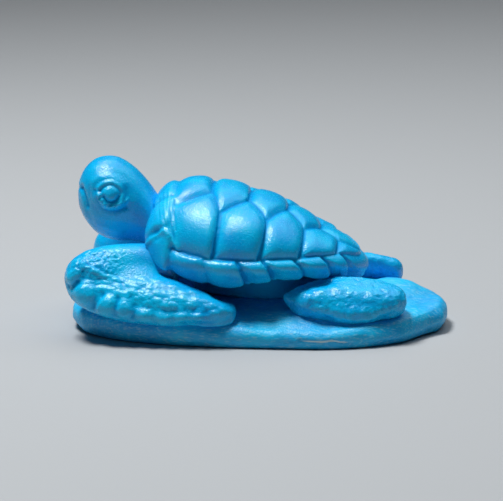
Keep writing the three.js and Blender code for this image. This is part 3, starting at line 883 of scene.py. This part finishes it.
headWork = {
    "voxel": 0.11,
    "smoothing": 45,
    "swell": 0.15,  # mm
    "beak": ((-24.7, 0.0, 17.4), (1.1, 1.5, 1.7)),  # middle and half-sizes in mm
    "socketFill": 1.35,  # mm, radius of the clay that fills the socket before the lids are cut
    "eyeArea": (3.0, 260),  # mm round the eye that are rubbed down to a soft mound, and the passes
    "socket": (1.3, -0.14),  # mm, radius and depth of the hollow that the eyeball sits in
    "socketForm": (1.0, (1, 0, 0), 1.15),  # softness of its edge, the direction it is longer in, and how much
    "eyeBlend": (3.0, 5),  # mm round the eye that are rubbed after the lines are cut, and the passes
    "eyeSwell": -0.04,  # mm
    "eyeRounding": 2,  # levels
    # lines on the face, as pixels of the photograph, with their half-width and height in mm
    "lines": {
        "brow": ([(94, 182), (100, 178.5), (108, 177.5), (116, 179.5), (122, 184)], 0.7, 0.24),
        "upperCrease": (
            [(99.5, 191), (103, 187), (108, 184.8), (113, 185), (118, 188), (121.5, 192.5)],
            0.38, -0.3,
        ),
        "eyeShade": ([(103.5, 197), (107, 201.3), (112, 202.8), (116.5, 201), (119.5, 196)], 0.26, -0.34),
        "lowerLid": (
            [(98, 195), (100, 200), (104.5, 204.7), (110, 207), (116, 206.5), (121, 203), (127, 200)],
            0.36, 0.24,
        ),
        "outerCrease": (
            [(95, 191), (95.8, 198), (98.5, 205), (103, 209.7), (109.5, 211.7), (117, 211.5), (126, 208)],
            0.34, -0.2,
        ),
        "frontFold": ([(92.5, 187), (92.6, 195), (94.4, 203)], 0.34, 0.1),
        "beakCrease": ([(81.4, 188), (83.6, 194), (85.4, 200), (87, 206)], 0.48, -0.34),
        "chinCrease": ([(88.6, 212), (90, 216), (92, 222)], 0.6, -0.12),
    },
    "beakNotch": (81.4, 188.5, 0.9, 0.34, -0.15),  # pixel, mm forward to the middle, half-width and height
    # rough tool marks along the lower lid: pixels of their path, radius and height in mm
    "lidMarks": (
        [(97, 194), (100, 200), (105, 205), (111, 207), (117, 206), (123, 201.5), (132, 201)],
        0.32, 0.13,
    ),
    "markCount": 26,
    "markSlip": (1.2, 0.4),  # pixels off the path, and the share by which radii differ
    "markSeed": 9,
}


def markLid(head):
    outline, radius, height = headWork["lidMarks"]
    slip, growth = headWork["markSlip"]
    chance = np.random.default_rng(headWork["markSeed"])
    marks = []
    pathEnd = len(outline) - 1.001  # just short of the last point
    for share in np.linspace(0, pathEnd, headWork["markCount"]):
        first, part = int(share), share % 1
        slipX, slipY, deep = chance.uniform(-1, 1, 3)
        across = outline[first][0] * (1 - part) + outline[first + 1][0] * part + slip * slipX
        down = outline[first][1] * (1 - part) + outline[first + 1][1] * part + slip * slipY
        marks.append((atPixel(head, across, down), radius * (1 + growth * slipX), height * deep))
    pressDabs(head, marks)
    pressDabs(head, [(*otherSide([place]), radius, height) for place, radius, height in marks])


def carveHead():
    head = copySolid("head")
    low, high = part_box("left_eye")
    eyeMiddle = (low + high) / 2 / mm
    eyes = [eyeMiddle, *otherSide([eyeMiddle])]
    for middle in eyes:
        addLump(head, middle, [headWork["socketFill"]] * 3)
    addLump(head, *headWork["beak"])
    recut(head, headWork["voxel"], headWork["smoothing"])
    for middle in eyes:
        rubDown(head, [middle], *headWork["eyeArea"])
    swell(head, headWork["swell"])
    pressDabs(head, [(middle, *headWork["socket"]) for middle in eyes], *headWork["socketForm"])
    for outline, width, height in headWork["lines"].values():
        drawOnBothSides(head, alongPixels(head, outline), width, height)
    across, down, forward, width, height = headWork["beakNotch"]
    corner = atPixel(head, across, down)
    drawOnBothSides(head, [corner, Vector((corner.x - forward, 0, corner.z))], width, height)
    for middle in eyes:
        rubDown(head, [middle], *headWork["eyeBlend"])
    markLid(head)
    settle(head, "head", polished)


def carveEyes():
    eye = copySolid("left_eye")
    subdivide(eye, headWork["eyeRounding"])
    swell(eye, headWork["eyeSwell"])
    settlePair(eye, "eye", polished)


carveHead()
carveEyes()
print("head carved")

# Flippers

frontFlipper = {
    "voxel": 0.13,
    "smoothing": 100,
    "swell": 0.42,  # mm, makes up for the smoothing and closes the seat on the rock
    # clay in the fold between arm and blade, middles and half-sizes in mm
    "foldFill": [((-21.6, -10.3, 9.7), (2.6, 1.5, 1.5)), ((-17.8, -9.9, 9.0), (4.2, 1.3, 1.25))],
    # rubbed soft: pixels of the photograph, reach in mm and passes
    "fold": ([(98, 267), (108, 269), (118, 270), (130, 270), (144, 271)], 2.2, 300),
    "tip": ([(231, 313)], 2.2, 160),
    # pixels of the photograph, each with a radius and a height in mm
    "lobes": [
        (76, 265, 1.6, 0.3),
        (72, 277, 1.6, 0.5),
        (84, 292, 2.0, 0.6),
        (106, 306, 2.1, 0.55),
        (124, 309, 1.6, 0.42),
        (144, 316, 1.35, 0.42),
        (163, 320, 1.3, 0.38),
        (182, 318, 1.1, 0.36),
        (198, 318, 1.1, 0.3),
    ],
    "lobeSoftness": 1.3,
    # soft lines, as pixels, with their half-width and height in mm
    "lines": {
        "innerEdge": ([(165, 276), (185, 282), (205, 289), (220, 295), (230, 301)], 1.3, -0.8),
        "innerTip": ([(205, 291), (218, 297), (230, 303)], 1.2, -0.4),
        "underTip": ([(186, 327), (205, 327), (220, 325), (232, 320)], 1.1, -0.6),
        "edgeValley": ([(132, 303), (146, 307.5), (165, 310.5), (185, 311), (206, 312)], 0.6, -0.2),
        "firstValley": ([(68, 287), (71, 286), (76, 283.5), (84, 279)], 0.6, -0.28),
        "secondValley": ([(92, 309), (94, 305), (97, 300), (102, 295)], 0.55, -0.36),
        "thirdValley": ([(114, 316), (115, 306), (117, 299)], 0.45, -0.2),
        "fourthValley": ([(132, 319), (133, 307)], 0.45, -0.2),
        "handCrease": ([(87, 263), (96, 267.5), (104, 272.5), (114, 275.5)], 0.36, -0.14),
        "handFold": ([(84, 266), (91, 268.5), (98, 272), (105, 276.5), (116, 279.5)], 0.36, 0.2),
    },
    "lineBlend": 10,  # passes over the lines
    # pixels of the two lines between which the scales lie
    "scaleTop": [
        (78, 262), (100, 271), (120, 276), (146, 277), (162, 280), (182, 288), (202, 296), (228, 309),
    ],
    "scaleFoot": [
        (78, 276), (90, 284), (106, 292), (134, 300), (150, 305), (170, 308), (190, 310), (228, 315),
    ],
    "scaleStep": (8.0, 6.4),  # pixels along the blade and across it
    "rowShift": (0.25, 0.75),  # how far down its row a scale lies, in even and in odd columns
    "scaleSlip": 0.3,  # share of a step that scales are off their place, and that their sizes differ
    "scaleSeed": 4,
    "scale": (0.52, 0.115),  # mm, radius and height
    # softness of a scale's edge, the direction in which scales are longer, and how much longer
    "scaleForm": (1.0, (17.8, -2.0, -6.2), 1.7),
    "scaleBlend": 2,  # passes
    # finely grained skin on the hand: pixels of its middle line, reach in mm,
    # and how far across and how high a grain is in mm
    "grainPath": [(78, 262), (86, 257), (96, 258), (108, 258)],
    "grainReach": 1.9,
    "grain": (0.45, 0.4),
    "unevenness": (0.9, 0.2),  # mm across and high, along the blade
    "bladeReach": 3.0,  # mm
    "farHand": (-14.0, -26.0, 1.6),  # mm, where the far hand begins and ends to lie further back, and how far
}


def crossing(outline, across):  # how far down the line lies at that pixel column
    return float(np.interp(across, *zip(*outline)))


def layScales(flipper):
    chance = np.random.default_rng(frontFlipper["scaleSeed"])
    slip = frontFlipper["scaleSlip"]
    along, apart = frontFlipper["scaleStep"]
    top, foot = frontFlipper["scaleTop"], frontFlipper["scaleFoot"]
    radius, height = frontFlipper["scale"]
    scales = []
    for number, column in enumerate(np.arange(top[0][0], top[-1][0], along)):
        high, low = crossing(top, column), crossing(foot, column)
        rows = max(round((low - high) / apart), 1)
        for row in range(rows):
            slipX, slipY, grow = chance.uniform(-slip, slip, 3)
            down = high + (row + frontFlipper["rowShift"][number % 2] + slipY) * (low - high) / rows
            place = atPixel(flipper, column + slipX * along, down)
            if place:
                scales.append((place, radius * (1 + grow), height * (1 + grow)))
    pressDabs(flipper, scales, *frontFlipper["scaleForm"])
    smooth(flipper, frontFlipper["scaleBlend"])


# Roughens the blade's edge and grains the hand, each less and less away from its line.
def grainFlipper(flipper):
    blade = alongPixels(flipper, frontFlipper["scaleFoot"])
    hand = alongPixels(flipper, frontFlipper["grainPath"])
    points = readSkin(flipper)[0]
    nearBlade = np.exp(-(distanceToPath(points, blade) / (frontFlipper["bladeReach"] * mm)) ** 2)
    nearHand = np.exp(-(distanceToPath(points, hand) / (frontFlipper["grainReach"] * mm)) ** 2)
    roughen(flipper, "blade_unevenness", *frontFlipper["unevenness"], weighSkin(flipper, "blade", nearBlade))
    roughen(flipper, "hand_grain", *frontFlipper["grain"], weighSkin(flipper, "hand", nearHand))
    flipper.vertex_groups.clear()


def setBackHand(far):
    points = readSkin(far)[0]
    start, end, setback = frontFlipper["farHand"]
    points[:, 0] += setback * mm * np.clip((points[:, 0] / mm - start) / (end - start), 0, 1)
    writeSkin(far, points)


def carveFrontFlipper():
    flipper = copySolid("left_front_flipper")
    for lump in frontFlipper["foldFill"]:
        addLump(flipper, *lump)
    recut(flipper, frontFlipper["voxel"], frontFlipper["smoothing"])
    swell(flipper, frontFlipper["swell"])
    for name in ("fold", "tip"):
        outline, reach, passes = frontFlipper[name]
        rubDown(flipper, alongPixels(flipper, outline), reach, passes)
    lobes = [(atPixel(flipper, x, y), radius, height) for x, y, radius, height in frontFlipper["lobes"]]
    pressDabs(flipper, [lobe for lobe in lobes if lobe[0]], frontFlipper["lobeSoftness"])
    for outline, width, height in frontFlipper["lines"].values():
        drawLine(flipper, alongPixels(flipper, outline), width, height)
    smooth(flipper, frontFlipper["lineBlend"])
    layScales(flipper)
    grainFlipper(flipper)
    setBackHand(settlePair(flipper, "front_flipper", polished))


rearFlipper = {
    "voxel": 0.13,
    "smoothing": 30,
    "swell": 0.32,  # mm
    "dents": (1.3, 0.3),  # mm across and high
    "pits": (0.5, 0.1),
    "ends": (2.0, 160),  # mm round both ends that are rubbed round, and the passes
    # soft lines, as pixels of the photograph, with their half-width and height in mm
    "lines": {
        "crest": ([(306, 298), (320, 294), (345, 293), (375, 296), (395, 300)], 1.6, 0.45),
        "upperFront": ([(294, 287), (302, 284.5), (312, 281.5), (322, 280)], 1.5, -0.65),
        "lowerFront": ([(292, 307), (300, 313), (312, 318), (326, 321)], 1.7, -0.65),
        "lowerRear": ([(386, 319), (395, 316), (402, 311)], 1.4, -0.6),
    },
    "undercut": 1.7,  # mm that the lower edge is drawn in
    # pixels of the photograph at both ends of each wrinkle near the rear end
    "wrinkles": [
        ((379, 297), (384, 309)),
        ((385, 296), (390, 308)),
        ((391, 297), (395, 307)),
        ((397, 298), (400, 305)),
    ],
    "wrinkle": (0.26, -0.1),  # mm, half-width and height
}


def drawIn(leftPiece, depth):  # moves the lower half in towards the middle, most at its foot
    points = readSkin(leftPiece)[0]
    heights = points[:, 2]
    middle = (heights.min() + heights.max()) / 2
    down = np.clip((middle - heights) / (middle - heights.min()), 0, 1)
    points[:, 1] += depth * mm * down ** 2
    writeSkin(leftPiece, points)


def carveRearFlipper():
    flipper = copySolid("left_rear_flipper")
    recut(flipper, rearFlipper["voxel"], rearFlipper["smoothing"])
    swell(flipper, rearFlipper["swell"])
    drawIn(flipper, rearFlipper["undercut"])
    for outline, width, height in rearFlipper["lines"].values():
        drawLine(flipper, alongPixels(flipper, outline), width, height)
    points = readSkin(flipper)[0]
    for end in (points[:, 0].argmin(), points[:, 0].argmax()):
        rubDown(flipper, [points[end] / mm], *rearFlipper["ends"])
    for name in ("dents", "pits"):
        roughen(flipper, "flipper_" + name, *rearFlipper[name])
    for ends in rearFlipper["wrinkles"]:
        drawLine(flipper, alongPixels(flipper, ends), *rearFlipper["wrinkle"])
    settlePair(flipper, "rear_flipper", polished)


carveFrontFlipper()
carveRearFlipper()
print("flippers carved")

# Rock

rockWork = {
    "voxel": 0.2,
    "smoothing": 20,
    "lumps": (6.0, 0.6),  # mm across and high
    "ripples": (1.8, 0.12),
    "footHeight": 0.9,  # mm, below this the rock keeps its flat underside
    # pixels where the rock is fuller or flatter, with a radius and a height in mm
    "forms": [
        (441, 311, 3.5, 0.4),
        (424, 300, 4.5, -0.4),
        (425, 331, 4.5, -0.35),
        (300, 320, 5.0, 0.25),
        (398, 286, 6.0, 1.1),
    ],
    # a soft ridge round the rear edge: pixels, half-width and height in mm
    "rim": ([(372, 339), (390, 337), (408, 333), (426, 327), (442, 318)], 0.6, 0.2),
    # pixels of the photograph along the chipped edge, and the chip's half-width and depth in mm
    "chip": [(299, 340.6), (310, 341.6), (322, 342.2), (332, 340.8), (342, 342.2), (352, 343)],
    "chipSize": (0.15, -0.1),
    "chipFade": 0.4,  # the lower this is, the nearer to its ends the chip stays bare
}


def chipEdge(rock):
    width, depth = rockWork["chipSize"]
    path = alongPixels(rock, rockWork["chip"])
    points = readSkin(rock)[0]
    nearest = distanceToPath(points, path)
    ends = path[0].x * mm, path[-1].x * mm
    share = np.clip((points[:, 0] - ends[0]) / (ends[1] - ends[0]), 0, 1)
    bare = np.exp(-(nearest / (width * mm)) ** 2) * np.sin(np.pi * share) ** rockWork["chipFade"]
    writeField(rock, "chip", bare)
    drawLine(rock, path, width, depth)


def carveRock():
    rock = copySolid("rock_base")
    recut(rock, rockWork["voxel"], rockWork["smoothing"])
    heights = readSkin(rock)[0][:, 2] / (rockWork["footHeight"] * mm)
    upper = weighSkin(rock, "upper", np.clip(heights, 0, 1))
    for name in ("lumps", "ripples"):
        roughen(rock, "rock_" + name, *rockWork[name], upper)
    rock.vertex_groups.clear()
    for across, down, radius, height in rockWork["forms"]:
        pressDabs(rock, [(atPixel(rock, across, down), radius, height)])
    outline, width, height = rockWork["rim"]
    drawLine(rock, alongPixels(rock, outline), width, height)
    chipEdge(rock)
    settle(rock, "rock_base", satin)


carveRock()
print("rock carved")
